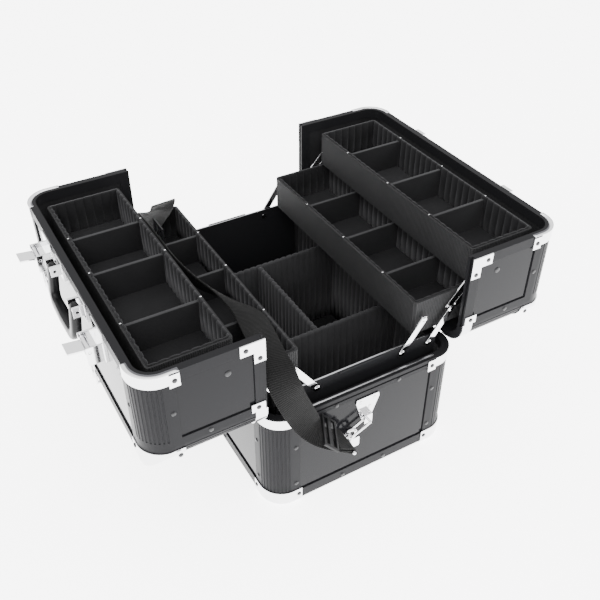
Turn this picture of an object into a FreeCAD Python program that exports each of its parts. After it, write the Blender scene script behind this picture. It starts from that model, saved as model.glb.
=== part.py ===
import FreeCAD, Part
import math
import os
from FreeCAD import Vector

# Hard train case with a split lid, four cantilever trays and a shoulder strap.
# Origin: centre of the base on the floor. X is across the case, Y along it, Z up.
# The two lid halves are drawn open, each turned 90 degrees out about its long edge.

doc = FreeCAD.newDocument("train_case")
sheet = doc.addObject("Spreadsheet::Sheet", "dims")
DIMENSIONS = {
    # case
    "case_len": 360, "case_wid": 240, "base_ht": 138, "lid_depth": 125, "lid_half": 119.5,
    "hinge_off": 0.75, "hinge_rise": 0.25, "corner_rad": 27, "post_span": 36, "wall": 5.5,
    "post_thk": 4, "panel_inset": 1.5, "lining": 1.5, "foot_thk": 0, "strip_ht": 18,
    "rim_ht": 12, "rim_thk": 8, "cap_thk": 1.2, "cap_ht": 26, "cap_span": 42, "edge_rad": 6,
    # trays
    "tray_wid": 86, "tray_ht": 43, "tray_half": 156, "tray_wall": 3, "inner_x": 71.38,
    "inner_top": 203.18, "outer_x": 141, "outer_top": 249.5, "divider_thk": 4,
    # linkage
    "arm_wid": 7.5, "arm_thk": 1.6, "arm_len": 46, "arm_angle": 55, "arm_x": 54, "arm_z": 146.5,
    "arm_pitch": 36, "upper_len": 52.3, "upper_angle": 48.7, "upper_pitch": 12,
    "pin_rad": 2, "pin_fit": 0.05, "loose_fit": 0.4, "head_rad": 3.6, "plane_c": 157,
    "plane_plate": 159.2, "plane_a": 161.8, "plane_link": 164.5, "plate_thk": 2, "plate_top": 156,
    "rivet_u": 39, "rivet_w": 93, "link_x": 183, "link_z": 214.5,
    # hinge
    "knuckle_rad": 2, "knuckle_bore": 1.05, "hinge_pin": 1.0, "leaf_thk": 0.7,
    # base dividers
    "base_div_top": 136, "cross_at": 72, "base_div_thk": 4,
    # strap and its fittings
    "strap_wid": 32, "strap_thk": 1.8, "ring_wire": 1.4, "ring_reach": 25.5, "ring_lean": 64.4,
    # handle and latches
    "grip_half": 38, "handle_z": 248, "latch_at": 84, "mount_thk": 1.6,
}
for row, (alias, value) in enumerate(DIMENSIONS.items(), start=1):
    sheet.set("A%d" % row, alias)
    sheet.set("B%d" % row, str(value))
    sheet.setAlias("B%d" % row, alias)
doc.recompute()


def cell(alias):
    """The plain number in a spreadsheet cell."""
    return float(sheet.get(alias))


def bind(obj, prop, rule):
    """Ties a property to an expression of the sheet's cells; plain words are aliases."""
    obj.setExpression(prop, expand(rule))


def expand(rule):
    words = str(rule)
    for alias in sorted(DIMENSIONS, key=len, reverse=True):
        words = words.replace(alias, "dims.#%d#" % list(DIMENSIONS).index(alias))
    for index, alias in enumerate(DIMENSIONS):
        words = words.replace("#%d#" % index, alias)
    return words


def place(obj, at):
    for axis, rule in zip("xyz", at):
        bind(obj, "Placement.Base." + axis, rule)
    return obj


def box(name, size, at):
    obj = doc.addObject("Part::Box", name)
    for prop, rule in zip(("Length", "Width", "Height"), size):
        bind(obj, prop, rule)
    return place(obj, at)


def rod(name, radius, height, at, along="Z"):
    """A cylinder that starts at a point and runs along X, Y or Z."""
    obj = doc.addObject("Part::Cylinder", name)
    bind(obj, "Radius", radius)
    bind(obj, "Height", height)
    turns = {"Z": (Vector(0, 0, 1), 0), "Y": (Vector(1, 0, 0), -90), "X": (Vector(0, 1, 0), 90)}
    axis, angle = turns[along]
    obj.Placement = FreeCAD.Placement(Vector(0, 0, 0), FreeCAD.Rotation(axis, angle))
    return place(obj, at)


def fuse(name, pieces):
    obj = doc.addObject("Part::MultiFuse", name)
    obj.Shapes = pieces
    return obj


def cut(name, solid, tool):
    obj = doc.addObject("Part::Cut", name)
    obj.Base = solid
    obj.Tool = tool
    return obj


def common(name, first, second):
    obj = doc.addObject("Part::MultiCommon", name)
    obj.Shapes = [first, second]
    return obj


def mirror(name, source, normal):
    obj = doc.addObject("Part::Mirroring", name)
    obj.Source = source
    obj.Normal = Vector(*normal)
    return obj


def group(name, pieces):
    """Separate solids that belong to one sub-part."""
    obj = doc.addObject("Part::Compound", name)
    obj.Links = pieces
    return obj


def both_ends(name, near):
    return group(name, [near, mirror(name + "_far", near, (0, 1, 0))])


def drawn(name, shape):
    obj = doc.addObject("Part::Feature", name)
    obj.Shape = shape
    obj.Placement = shape.Placement
    return obj


NODES = []


def node(label, obj):
    obj.Label = label
    NODES.append(obj)
    return obj


# ---------------------------------------------------------------- outlines
L2 = cell("case_len") / 2
W2 = cell("case_wid") / 2
RAD = cell("corner_rad")
HB = cell("base_ht")
LX0 = W2 + 2 * cell("hinge_off") - 0.5
LX1 = LX0 + cell("lid_depth")
LZ0 = HB + 1
LZ1 = LZ0 + cell("lid_half")


def rounded_prism(corner, size, along, radii):
    """A block whose four edges along one axis are rounded by their own radii."""
    block = Part.makeBox(*size, Vector(*corner))
    axis = "XYZ".index(along)
    for radius, near in radii:
        edges = [
            e for e in block.Edges
            if abs(e.tangentAt(e.FirstParameter)[axis]) > 0.99
            and all(
                abs(e.CenterOfMass[k] - near[k]) < 1e-3
                for k in range(3) if k != axis
            )
        ]
        block = block.makeFillet(radius, edges)
    return block


def base_envelope(off):
    """The base's outside, grown by off; its four upright edges and its floor edge are round."""
    x, y = W2 + off, L2 + off
    block = Part.makeBox(2 * x, 2 * y, HB + 60, Vector(-x, -y, cell("foot_thk") - off))
    upright = [e for e in block.Edges if abs(e.tangentAt(e.FirstParameter).z) > 0.99]
    block = block.makeFillet(RAD + off, upright)
    low = [e for e in block.Edges if e.BoundBox.ZMax < cell("foot_thk") - off + 0.01]
    floor_round = cell("edge_rad") + off
    return block.makeFillet(floor_round, low) if floor_round > 0.2 else block


def lid_envelope(off):
    """The right lid's outside when open, grown by off on its closed sides."""
    x1, y, z0 = LX1 + off, L2 + off, LZ0 - off
    size = (x1 - LX0 + 80, 2 * y, LZ1 - z0 + 80)
    corner = (LX0 - 80, -y, z0)
    plan = rounded_prism(corner, size, "Z", [(RAD + off, (x1, s * y, 0)) for s in (-1, 1)])
    end = rounded_prism(corner, size, "X", [(RAD + off, (0, s * y, z0)) for s in (-1, 1)])
    edge_round = cell("edge_rad") + off
    side_radii = [(edge_round, (x1, 0, z0))] if edge_round > 0.2 else []
    side = rounded_prism(corner, size, "Y", side_radii)
    return plan.common(end).common(side)


def skin(name, envelope, outer, inner):
    """The layer of an envelope between two offsets."""
    return drawn(name, envelope(outer).cut(envelope(inner)))


def region(name, low, high):
    return box(name, [h - l for l, h in zip(low, high)], low)


def in_regions(name, layer, boxes):
    """The parts of a layer inside several boxes, as one object of separate solids."""
    cells = [region("%s_zone%d" % (name, i), *b) for i, b in enumerate(boxes)]
    zones = cells[0] if len(cells) == 1 else fuse(name + "_zones", cells)
    return common(name, layer, zones)


def grooves(points, along, start, length, radius=1.0):
    """Shallow flutes: rods along an extrusion at points of its section."""
    axis = {"X": Vector(1, 0, 0), "Z": Vector(0, 0, 1)}[along]
    rods = []
    for a, b in points:
        foot = Vector(a, b, start) if along == "Z" else Vector(start, a, b)
        rods.append(Part.makeCylinder(radius, length, foot, axis))
    return Part.makeCompound(rods)


def corner_flutes(centre, quarter):
    """Section points of the flutes round one corner, as a fan about its centre."""
    points = []
    for step in range(9):
        angle = math.radians(quarter + 9 + step * 9)
        points.append((
            centre[0] + (RAD + 0.4) * math.cos(angle),
            centre[1] + (RAD + 0.4) * math.sin(angle),
        ))
    return points


# ---------------------------------------------------------------- base shell
SPAN = cell("post_span")
STRIP = cell("strip_ht")
RIM_Z = HB - cell("rim_ht")
INSET = cell("panel_inset")
WALL = cell("wall")
INNER = WALL + cell("lining")
BIG = 400

post_layer = skin("base_post_layer", base_envelope, 0, -cell("post_thk"))
post_boxes = []
flutes = []
for sx in (-1, 1):
    for sy in (-1, 1):
        xs = sorted((sx * (W2 - SPAN), sx * (W2 + 5)))
        ys = sorted((sy * (L2 - SPAN), sy * (L2 + 5)))
        post_boxes.append(((xs[0], ys[0], STRIP), (xs[1], ys[1], RIM_Z)))
        quarter = {(1, 1): 0, (-1, 1): 90, (-1, -1): 180, (1, -1): 270}[(sx, sy)]
        centre = (sx * (W2 - RAD), sy * (L2 - RAD))
        flutes += corner_flutes(centre, quarter)
posts = in_regions("base_posts_plain", post_layer, post_boxes)
node("base_posts", cut("base_posts", posts, drawn("base_flutes", grooves(flutes, "Z", 0, HB))))

panel_layer = skin("base_panel_layer", base_envelope, -INSET, -WALL)
panel_boxes = []
for s in (-1, 1):
    xs = sorted((s * (W2 - WALL), s * W2))
    panel_boxes.append(((xs[0], -(L2 - SPAN), STRIP), (xs[1], L2 - SPAN, RIM_Z)))
    ys = sorted((s * (L2 - WALL), s * L2))
    panel_boxes.append(((-(W2 - SPAN), ys[0], STRIP), (W2 - SPAN, ys[1], RIM_Z)))
walls = in_regions("base_walls", panel_layer, panel_boxes)
floor_layer = drawn("base_floor_body", base_envelope(-WALL))
floor = in_regions("base_floor", floor_layer, [((-BIG, -BIG, 0), (BIG, BIG, 11))])
node("base_panels", group("base_panels", [walls, floor]))

strip_layer = skin("base_strip_layer", base_envelope, 0, -WALL)
strip_zone = [((-BIG, -BIG, 0), (BIG, BIG, STRIP))]
node("base_edge_strip", in_regions("base_edge_strip", strip_layer, strip_zone))

rim_ring = in_regions(
    "base_rim_ring", skin("base_rim_layer", base_envelope, 0, -cell("rim_thk")),
    [((-BIG, -BIG, RIM_Z), (BIG, BIG, HB))],
)
tongue_near = box("base_tongue_near", (176, 2.4, 3.2), (-88, "-case_len / 2 + 2.2", "base_ht - 1"))
tongue_far = mirror("base_tongue_far", tongue_near, (0, 1, 0))
step_near = box("base_step_near", (176, 1.2, 2.2), (-88, "-case_len / 2 + 0.0", "base_ht - 7"))
step_far = mirror("base_step_far", step_near, (0, 1, 0))
rim_full = fuse("base_rim_full", [rim_ring, tongue_near, tongue_far])
rim_lined = cut("base_rim_lined", rim_full, group("base_rim_lines", [step_near, step_far]))
barrel_way = [
    rod("barrel_way_base_%d" % i, "knuckle_rad + 0.4", "case_len - 84",
        ("%d * (case_wid / 2 + hinge_off)" % s, "-case_len / 2 + 42", "base_ht + hinge_rise"), "Y")
    for i, s in enumerate((-1, 1))
]
node("base_rim", cut("base_rim", rim_lined, group("base_barrel_ways", barrel_way)))

CAP = cell("cap_span")
cap_boxes = []
clamp_boxes = []
for sx in (-1, 1):
    for sy in (-1, 1):
        xs = sorted((sx * (W2 - CAP + 4), sx * (W2 + 9)))
        ys = sorted((sy * (L2 - CAP + 4), sy * (L2 + 9)))
        cap_boxes.append(((xs[0], ys[0], 0), (xs[1], ys[1], 21)))
        xs = sorted((sx * (W2 - 31), sx * (W2 + 9)))
        ys = sorted((sy * (L2 - 31), sy * (L2 + 9)))
        clamp_boxes.append(((xs[0], ys[0], HB - 13), (xs[1], ys[1], HB - 0.5)))
chrome_layer = skin("base_chrome_layer", base_envelope, cell("cap_thk"), 0)
node("base_corner_caps", in_regions("base_corner_caps", chrome_layer, cap_boxes))
# The clamp's tabs reach down onto the end walls beside each corner.
tab_boxes = []
for sx in (-1, 1):
    for sy in (-1, 1):
        xs = sorted((sx * (W2 - 41), sx * (W2 - 30.5)))
        ys = sorted((sy * L2, sy * (L2 + 1.2)))
        tab = region("tab_%d_%d" % (sx + 1, sy + 1), (xs[0], ys[0], HB - 17), (xs[1], ys[1], HB - 2))
        tab_boxes.append(tab)
clamp_ring = in_regions("base_clamp_ring", chrome_layer, clamp_boxes)
node("base_rim_clamps", fuse("base_rim_clamps", [clamp_ring] + tab_boxes))

lining_layer = skin("base_lining_layer", base_envelope, -WALL, -INNER)
lining_zone = [((-BIG, -BIG, 11), (BIG, BIG, RIM_Z))]
lining_walls = in_regions("base_lining_walls", lining_layer, lining_zone)
pad_layer = drawn("base_pad_layer", base_envelope(-INNER))
pad = in_regions("base_pad", pad_layer, [((-BIG, -BIG, 11), (BIG, BIG, 12.5))])
node("base_lining", fuse("base_lining", [lining_walls, pad]))

# ---------------------------------------------------------------- base dividers
inner_x = "case_wid / 2 - wall - lining"
cross_near = box(
    "cross_near", ("2 * (%s) - 0.4" % inner_x, "base_div_thk", "base_div_top - 12.5"),
    ("-(%s) + 0.2" % inner_x, "-cross_at - base_div_thk / 2", 12.5),
)
notch = box("cross_notch", (2 * 9, 8, 20), (-W2 + 5, -cell("cross_at") - 4, RIM_Z))
notch_right = mirror("cross_notch_right", notch, (1, 0, 0))
cross_cut = cut("cross_cut", cross_near, group("cross_notches", [notch, notch_right]))
cross_far = mirror("cross_far", cross_cut, (0, 1, 0))
long_divider = box(
    "base_long_divider", ("base_div_thk", "2 * cross_at - base_div_thk", "base_div_top - 12.5"),
    ("-base_div_thk / 2", "-cross_at + base_div_thk / 2", 12.5),
)
node("base_dividers", group("base_dividers", [cross_cut, cross_far, long_divider]))

# ---------------------------------------------------------------- link plates
ARM_X = (cell("arm_x"), cell("arm_x") + cell("arm_pitch"))


def plate_profile():
    """The raised end plate: wide foot behind the rim, with its top edge above the rim."""
    y = -cell("plane_plate") - cell("plate_thk")
    pts = [(-101, 40), (101, 40), (101, 149), (94, 155), (86, cell("plate_top")),
           (-86, cell("plate_top")), (-94, 155), (-101, 149), (-101, 40)]
    wire = Part.makePolygon([Vector(x, y, z) for x, z in pts])
    return Part.Face(wire).extrude(Vector(0, cell("plate_thk"), 0))


plate_body = drawn("link_plate_body", plate_profile())
plate_flange = box("link_plate_flange", (54, 4.5, 1.6), (-27, "-plane_plate - 4.5", "plate_top - 1.6"))
plate_feet = [
    box("link_plate_foot_%d" % i, (14, "case_len / 2 - wall - lining - plane_plate - plate_thk", 30),
        (x, "-case_len / 2 + wall + lining", 40))
    for i, x in enumerate((-60, -7, 46))
]
plate_holes = [
    rod("link_plate_hole_%d" % i, "pin_rad + pin_fit", 20, (x, "-plane_plate - 10", "arm_z"), "Y")
    for i, x in enumerate([s * x for s in (-1, 1) for x in ARM_X])
]
plate_near = cut(
    "link_plate_near", fuse("link_plate_solid", [plate_body, plate_flange] + plate_feet),
    group("link_plate_holes", plate_holes),
)
node("link_plates", both_ends("link_plates", plate_near))


# ---------------------------------------------------------------- arms
def arm(start, end, plane, start_depth, end_depth, start_bore=False):
    """A flat arm at the near end with a rivet at each end; a depth is how far it runs inward."""
    thk, wid = cell("arm_thk"), cell("arm_wid")
    a, b = Vector(start[0], -plane, start[1]), Vector(end[0], -plane, end[1])
    along = (b - a).normalize()
    side = Vector(along.z, 0, -along.x) * (wid / 2)
    out = Vector(0, -thk, 0)
    strip_face = Part.Face(Part.makePolygon([a + side, b + side, b - side, a - side, a + side]))
    solid = strip_face.extrude(out)
    for centre in (a, b):
        solid = solid.fuse(Part.makeCylinder(wid / 2, thk, centre, Vector(0, -1, 0)))
    solid = solid.removeSplitter()
    radius, head = cell("pin_rad"), cell("head_rad")
    bore = radius + cell("pin_fit")
    if start_bore:
        hole = Part.makeCylinder(bore, 3 * thk, a + Vector(0, thk, 0), Vector(0, -1, 0))
        solid = solid.cut(hole)
    ends = [(b, end_depth)] if start_bore else [(a, start_depth), (b, end_depth)]
    for centre, depth in ends:
        solid = solid.fuse(Part.makeCylinder(radius, depth, centre, Vector(0, 1, 0)))
        tail = centre + Vector(0, depth, 0)
        solid = solid.fuse(Part.makeCylinder(head, 0.8, tail, Vector(0, 1, 0)))
        boss = Part.makeCone(head, head * 0.6, 0.9, centre + out, Vector(0, -1, 0))
        solid = solid.fuse(boss)
    return solid


def polar(length, degrees):
    return length * math.cos(math.radians(degrees)), length * math.sin(math.radians(degrees))


dx, dz = polar(cell("arm_len"), cell("arm_angle"))
ux, uz = polar(cell("upper_len"), cell("upper_angle"))
base_pins = [(x, cell("arm_z")) for x in ARM_X]
tray_pins = [(x + dx, z + dz) for x, z in base_pins]
c_low = tray_pins[1]
d_low = (c_low[0] + cell("upper_pitch"), c_low[1])
c_top = (c_low[0] + ux, c_low[1] + uz)
d_top = (d_low[0] + ux, d_low[1] + uz)
lid_rivet = (LX0 - 1 + cell("rivet_u"), LZ0 - 1 + cell("rivet_w"))
link_pin = (cell("link_x"), cell("link_z"))
in_tray = cell("tray_half") - cell("tray_wall")
plane_a, plane_c, plane_link = cell("plane_a"), cell("plane_c"), cell("plane_link")
to_plate = plane_a - cell("plane_plate") + 0.1
from_a, from_c = plane_a - in_tray + 0.1, plane_c - in_tray + 0.1
from_link = plane_link - in_tray + 0.1
arm_shapes = {
    "arm_a": arm(base_pins[0], tray_pins[0], plane_a, to_plate, from_a),
    "arm_b": arm(base_pins[1], tray_pins[1], plane_a, to_plate, from_a),
    "arm_c": arm(c_low, c_top, plane_c, 0, from_c, start_bore=True),
    "arm_d": arm(d_low, d_top, plane_c, from_c, from_c),
    "lid_link": arm(lid_rivet, link_pin, plane_link, 0, from_link, start_bore=True),
}
for name, shape in arm_shapes.items():
    right = both_ends(name + "_right", drawn(name + "_near", shape))
    node(name + "_right", right)
    node(name + "_left", mirror(name + "_left", right, (1, 0, 0)))


# ---------------------------------------------------------------- trays
def tray(name, x0, top, pins, loose_pins, dividers):
    """A pair of open trays; the pins are bored through both end walls, some of them loose.

    The dividers are two lists of places along Y: the right tray's and the left tray's.
    """
    outer = box(name + "_block", ("tray_wid", "2 * tray_half", "tray_ht"),
                (x0, "-tray_half", "%s - tray_ht" % top))
    hollow = box(name + "_hollow", ("tray_wid - 2 * tray_wall", "2 * (tray_half - tray_wall)", "tray_ht"),
                 ("%s + tray_wall" % x0, "-tray_half + tray_wall", "%s - tray_ht + tray_wall" % top))
    rounded = doc.addObject("Part::Fillet", name + "_rounded")
    rounded.Base = outer
    doc.recompute()
    upright = [
        (i, 4.0, 4.0) for i, e in enumerate(outer.Shape.Edges, start=1)
        if abs(e.tangentAt(e.FirstParameter).z) > 0.99
    ]
    rounded.Edges = upright
    holes = [(pin, "pin_rad + pin_fit") for pin in pins]
    holes += [(pin, "pin_rad + loose_fit") for pin in loose_pins]
    bores = [
        rod("%s_bore_%d" % (name, i), radius, "2 * tray_half + 20", (x, "-tray_half - 10", z), "Y")
        for i, ((x, z), radius) in enumerate(holes)
    ]
    shell = cut(name + "_open", rounded, hollow)
    right = cut(name + "_right", shell, group(name + "_bores", bores))
    node(name + "_right", right)
    node(name + "_left", mirror(name + "_left", right, (1, 0, 0)))
    size = ("tray_wid - 2 * tray_wall - 0.4", "divider_thk", "tray_ht - tray_wall - 3")
    start_x, start_z = "%s + tray_wall + 0.2" % x0, "%s - tray_ht + tray_wall" % top
    sets = []
    for side, places in zip(("right", "left"), dividers):
        plates = [
            box("%s_divider_%s_%d" % (name, side, i), size,
                (start_x, "%g - divider_thk / 2" % y, start_z))
            for i, y in enumerate(places)
        ]
        sets.append(group("%s_divider_set_%s" % (name, side), plates))
    node(name + "_dividers_right", sets[0])
    node(name + "_dividers_left", mirror(name + "_dividers_left", sets[1], (1, 0, 0)))


tray("inner_tray", "inner_x", "inner_top", tray_pins + [d_low], [],
     ((-92, -10, 75), (-84, 8, 85)))
tray("outer_tray", "outer_x", "outer_top", [link_pin], [c_top, d_top],
     ((-78, 4, 92), (-86, 6, 78)))

# ---------------------------------------------------------------- lids (right, then mirrored)
RZ = LZ1 - cell("rim_ht")
RX = LX0 + cell("rim_ht")
YS = L2 - SPAN
lid_posts_layer = skin("lid_post_layer", lid_envelope, 0, -cell("post_thk"))
lid_post_boxes = []
z_flutes = []
x_flutes = []
for sy in (-1, 1):
    ys = sorted((sy * YS, sy * (L2 + 5)))
    lid_post_boxes.append(((LX1 - SPAN, ys[0], LZ0 + STRIP), (LX1 + 5, ys[1], RZ)))
    lid_post_boxes.append(((RX, ys[0], LZ0 - 5), (LX1 - STRIP, ys[1], LZ0 + SPAN)))
    z_flutes += corner_flutes((LX1 - RAD, sy * (L2 - RAD)), 0 if sy > 0 else 270)
    x_flutes += corner_flutes((sy * (L2 - RAD), LZ0 + RAD), 270 if sy > 0 else 180)
lid_posts = in_regions("lid_posts_plain", lid_posts_layer, lid_post_boxes)
flute_tools = Part.makeCompound([
    grooves(z_flutes, "Z", LZ0 + SPAN - 1, 140),
    grooves(x_flutes, "X", LX0, cell("lid_depth") - SPAN + 1),
])
lid_posts_right = cut("lid_posts", lid_posts, drawn("lid_flutes", flute_tools))

lid_panel_layer = skin("lid_panel_layer", lid_envelope, -INSET, -WALL)
end_boxes = []
for sy in (-1, 1):
    ys = sorted((sy * (L2 - WALL), sy * L2))
    end_boxes.append(((RX, ys[0], LZ0 + SPAN), (LX1 - SPAN, ys[1], RZ)))
end_boxes.append(((LX1 - WALL, -YS, LZ0 + STRIP), (LX1, YS, RZ)))
end_boxes.append(((RX, -YS, LZ0), (LX1 - STRIP, YS, LZ0 + WALL)))
lid_panels_plain = in_regions("lid_panels_plain", lid_panel_layer, end_boxes)
rivet_start = (lid_rivet[0], "-case_len / 2 - 10", lid_rivet[1])
rivet_way = rod("lid_rivet_way", "pin_rad", "case_len + 20", rivet_start, "Y")
lid_panels_right = cut("lid_panels", lid_panels_plain, rivet_way)

strip_region = [((LX1 - STRIP, -L2 - 5, LZ0 - 5), (LX1 + 5, L2 + 5, LZ0 + STRIP))]
lid_strip = in_regions("lid_strip", skin("lid_strip_layer", lid_envelope, 0, -WALL), strip_region)
rim_layer = skin("lid_rim_layer", lid_envelope, 0, -cell("rim_thk"))
mating_zone = region("lid_mating_zone", (LX0, -BIG, LZ0 - 5), (RX, BIG, LZ1))
split_zone = region("lid_split_zone", (LX0, -BIG, RZ), (LX1 + 5, BIG, LZ1))
lid_rims = common("lid_rims", rim_layer, fuse("lid_rim_zones", [mating_zone, split_zone]))
groove_start = ("%g" % (LX0 - 0.1), "-case_len / 2 + 1.9", "%g" % (LZ0 + 27))
groove_near = box("lid_groove_near", (3.4, 3.0, 100), groove_start)
groove_far = mirror("lid_groove_far", groove_near, (0, 1, 0))
barrel_way_lid = rod("barrel_way_lid", "knuckle_rad + 0.4", "case_len - 84",
                     ("case_wid / 2 + hinge_off", "-case_len / 2 + 42", "base_ht + hinge_rise"), "Y")
rim_ways = group("lid_rim_ways", [groove_near, groove_far, barrel_way_lid])
lid_rims_cut = cut("lid_rims_cut", lid_rims, rim_ways)
lid_profiles_right = group("lid_profiles", [lid_strip, lid_rims_cut])

lid_lining_layer = skin("lid_lining_layer", lid_envelope, -WALL, -INNER)
lining_zone = region("lid_lining_zone", (RX, -BIG, LZ0 - 5), (LX1 + 5, BIG, RZ))
lid_lining_plain = common("lid_lining_plain", lid_lining_layer, lining_zone)
lid_lining_right = cut("lid_lining", lid_lining_plain, rivet_way)

lid_chrome_layer = skin("lid_chrome_layer", lid_envelope, cell("cap_thk"), 0)
hardware_boxes = []
for sy in (-1, 1):
    corner_ys = sorted((sy * (L2 - 31), sy * (L2 + 9)))
    ball_ys = sorted((sy * (L2 - 38), sy * (L2 + 9)))
    hardware_boxes.append(((LX1 - 31, corner_ys[0], LZ1 - 13), (LX1 + 9, corner_ys[1], LZ1)))
    hardware_boxes.append(((LX0, corner_ys[0], LZ0 - 9), (LX0 + 13, corner_ys[1], LZ0 + 31)))
    hardware_boxes.append(((LX1 - 38, ball_ys[0], LZ0 - 9), (LX1 + 9, ball_ys[1], LZ0 + 22)))
lid_caps = in_regions("lid_caps", lid_chrome_layer, hardware_boxes)
y_out = -L2 - cell("cap_thk")
plate_zones = [
    region("split_tab", (LX1 - 41, y_out, LZ1 - 17), (LX1 - 30.5, -L2, LZ1 - 2)),
    region("mating_tab", (LX0 + 2, y_out, LZ0 + 30.5), (LX0 + 17, -L2, LZ0 + 41)),
    region("corner_clamp_a", (LX0, y_out, LZ1 - 26), (LX0 + 12, -L2, LZ1)),
    region("corner_clamp_b", (LX0 + 11, y_out, LZ1 - 13), (LX0 + 26, -L2, LZ1)),
]
tabs_near = fuse("lid_tabs_near", plate_zones[2:])
tabs = [plate_zones[0], plate_zones[1], tabs_near]
far_tabs = [mirror(t.Name + "_far", t, (0, 1, 0)) for t in tabs]
lid_hardware_right = fuse("lid_hardware", [lid_caps] + tabs + far_tabs)


# ---------------------------------------------------------------- rivets
def rivet(at, normal, radius=2.6, rise=1.1, sides=20):
    """A low many-sided rivet head on a face."""
    n = Vector(*normal)
    across = Vector(n.y, n.z, n.x)
    rings = []
    for height, size in ((0, radius), (0.55 * rise, 0.9 * radius), (rise, 0.5 * radius)):
        corners = []
        for k in range(sides + 1):
            turn = 2 * math.pi * (k % sides) / sides
            spoke = across * math.cos(turn) + n.cross(across) * math.sin(turn)
            corners.append(Vector(*at) + n * height + spoke * size)
        rings.append(Part.makePolygon(corners))
    return Part.makeLoft(rings, True, True)


def four_fold(points):
    out = []
    for x, y, z, n in points:
        for sx in (-1, 1):
            for sy in (-1, 1):
                out.append(rivet((sx * x, sy * y, z), (sx * n[0], sy * n[1], n[2])))
    return out


T = cell("cap_thk")
yo, xo = L2 + T, W2 + T
base_points = [
    (W2 - 34, yo, 13.5, (0, 1, 0)), (xo, L2 - 34, 13.5, (1, 0, 0)),
    (W2 - 35.8, yo, HB - 9.5, (0, 1, 0)),
    (W2 - 31, L2, HB - 48, (0, 1, 0)), (W2, L2 - 31, HB - 48, (1, 0, 0)),
    (W2 - 31, L2, 32, (0, 1, 0)), (W2, L2 - 31, 32, (1, 0, 0)),
    (28, L2, 9.5, (0, 1, 0)), (W2, 60, 9.5, (1, 0, 0)),
    (W2 - 80, L2, HB - 10, (0, 1, 0)),
]
node("base_rivets", drawn("base_rivets", Part.makeCompound(four_fold(base_points))))

lid_rivet_shapes = []
for sy in (-1, 1):
    lid_points = [
        ((LX1 - 35.8, sy * yo, LZ1 - 9.5), (0, sy, 0)), ((LX0 + 9.5, sy * yo, LZ0 + 35.8), (0, sy, 0)),
        ((LX0 + 6, sy * yo, LZ1 - 21), (0, sy, 0)), ((LX0 + 20, sy * yo, LZ1 - 6.5), (0, sy, 0)),
        ((LX1 - 32, sy * yo, LZ0 + 15), (0, sy, 0)), ((LX1 - 31, sy * L2, LZ0 + 70), (0, sy, 0)),
        ((LX0 + 60, sy * L2, LZ0 + 31), (0, sy, 0)),
        ((LX1 + T, sy * (L2 - 32), LZ0 + 15), (1, 0, 0)), ((LX1, sy * (L2 - 31), LZ0 + 70), (1, 0, 0)),
    ]
    lid_rivet_shapes += [rivet(at, n) for at, n in lid_points]
    shank = L2 - INSET - cell("plane_link") + 0.4
    at = (lid_rivet[0], sy * (L2 - INSET), lid_rivet[1])
    pin = Part.makeCylinder(cell("pin_rad"), shank, Vector(*at), Vector(0, -sy, 0))
    head = rivet(at, (0, sy, 0), 3.4, 1.3)
    lid_rivet_shapes.append(pin.fuse(head))
lid_rivets_right = drawn("lid_rivet_set", Part.makeCompound(lid_rivet_shapes))

for name, right in (
    ("panels", lid_panels_right), ("posts", lid_posts_right), ("profiles", lid_profiles_right),
    ("hardware", lid_hardware_right), ("rivets", lid_rivets_right), ("lining", lid_lining_right),
):
    node("lid_right_" + name, right)
    node("lid_left_" + name, mirror("lid_left_" + name, right, (1, 0, 0)))


# ---------------------------------------------------------------- hinges
def knuckles(first, length, leaf_low, leaf_high):
    """A leaf with every second knuckle of the barrel; the leaf is a box between two corners."""
    hx, hz = W2 + cell("hinge_off"), HB + cell("hinge_rise")
    leaf = Part.makeBox(
        leaf_high[0] - leaf_low[0], cell("case_len") - 92, leaf_high[1] - leaf_low[1],
        Vector(leaf_low[0], -L2 + 46, leaf_low[1]),
    )
    solid = leaf
    free = []
    radius = cell("knuckle_rad")
    y = -L2 + 46
    index = 0
    while y + length <= L2 - 46 + 0.01:
        tube = Part.makeCylinder(radius, length - 0.3, Vector(hx, y + 0.15, hz), Vector(0, 1, 0))
        if index % 2 == first:
            solid = solid.fuse(tube)
        else:
            start = Vector(hx, y, hz)
            free.append(Part.makeCylinder(radius + 0.15, length, start, Vector(0, 1, 0)))
        y += length
        index += 1
    for tool in free:
        solid = solid.cut(tool)
    start = Vector(hx, -L2, hz)
    return solid.cut(Part.makeCylinder(cell("knuckle_bore"), 2 * L2, start, Vector(0, 1, 0)))


hx, hz = W2 + cell("hinge_off"), HB + cell("hinge_rise")
leaf = cell("leaf_thk")
base_leaf = knuckles(0, 67, (W2, HB - 12), (W2 + leaf, HB - 1.0))
lid_leaf = knuckles(1, 67, (W2 + 1.75, LZ0 - leaf), (W2 + 13, LZ0))
pin_start = Vector(hx, -L2 + 46.3, hz)
pin = Part.makeCylinder(cell("hinge_pin"), cell("case_len") - 92.6, pin_start, Vector(0, 1, 0))
leaf_right = drawn("hinge_base_right", Part.makeCompound([base_leaf, pin]))
leaf_left = mirror("hinge_base_left", leaf_right, (1, 0, 0))
node("hinge_base_leaves", group("hinge_base_leaves", [leaf_right, leaf_left]))
lid_leaf_right = node("hinge_lid_leaf_right", drawn("hinge_lid_leaf_right", lid_leaf))
node("hinge_lid_leaf_left", mirror("hinge_lid_leaf_left", lid_leaf_right, (1, 0, 0)))

# ---------------------------------------------------------------- strap anchors
Y_FACE = -(L2 - INSET)
WIRE = cell("ring_wire")
RING_TOP = Vector(-2, 0, 93)
ring_turn = math.radians(cell("ring_lean"))
RING_LOW = RING_TOP + Vector(-math.sin(ring_turn), 0, -math.cos(ring_turn)) * cell("ring_reach")
RING_YS = (Y_FACE - 3.7, Y_FACE - 12.1)
Y_AXIS = Vector(0, 1, 0)


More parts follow.
